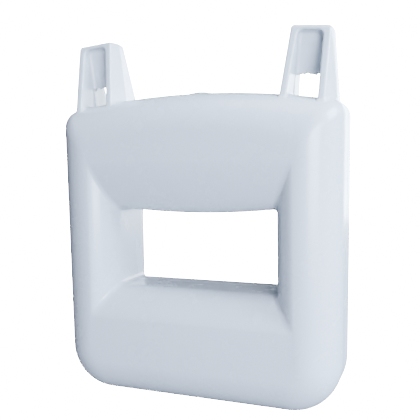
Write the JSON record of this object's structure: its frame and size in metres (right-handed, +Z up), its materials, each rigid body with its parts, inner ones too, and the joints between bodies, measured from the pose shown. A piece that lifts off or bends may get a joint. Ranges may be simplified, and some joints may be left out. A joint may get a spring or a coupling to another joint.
{
  "type": "boarding step fender",
  "caption": "Hollow white PVC ring with a foot opening, two pierced rope lugs on top and a screw-down air valve; hangs on ropes as a boarding step and fender.",
  "frame": {"origin": "middle of the base, on the surface it stands on", "axes": "+X to the right, front faces -Y, +Z up towards the rope lugs"},
  "size_m": [0.3798, 0.1344, 0.4738],
  "materials": {
    "shell_pvc": "satin blow-moulded PVC, white",
    "lug_pvc": "satin moulded PVC, white",
    "valve_nylon": "satin grey nylon",
    "plug_nylon": "black moulded nylon",
    "seal_rubber": "matte nitrile rubber"
  },
  "bodies": {
    "fender": {"chamber_shell": "shell_pvc", "left_rope_lug": "lug_pvc", "right_rope_lug": "lug_pvc", "valve_socket": "valve_nylon", "disc_cage": "valve_nylon"},
    "gasket": {"plug_gasket": "seal_rubber"},
    "plug": {"valve_plug": "plug_nylon"},
    "disc": {"check_disc": "seal_rubber"}
  },
  "joints": [
    {"name": "gasket_lift", "type": "slide", "parent": "fender", "child": "gasket", "axis": [0, 0, 1], "range_m": [0, 0.008]},
    {"name": "plug_turn", "type": "hinge", "parent": "gasket", "child": "plug", "pos_m": [0, 0, 0.3975], "axis": [0, 0, 1], "range_deg": [0, 1440.01]},
    {"name": "disc_open", "type": "slide", "parent": "fender", "child": "disc", "axis": [0, 0, -1], "range_m": [0, 0.0022], "stiffness_N_per_m": 20}
  ],
  "couplings": [
    {"joint": "plug_turn", "follows": "gasket_lift", "rad_per_m": 3141.6}
  ]
}
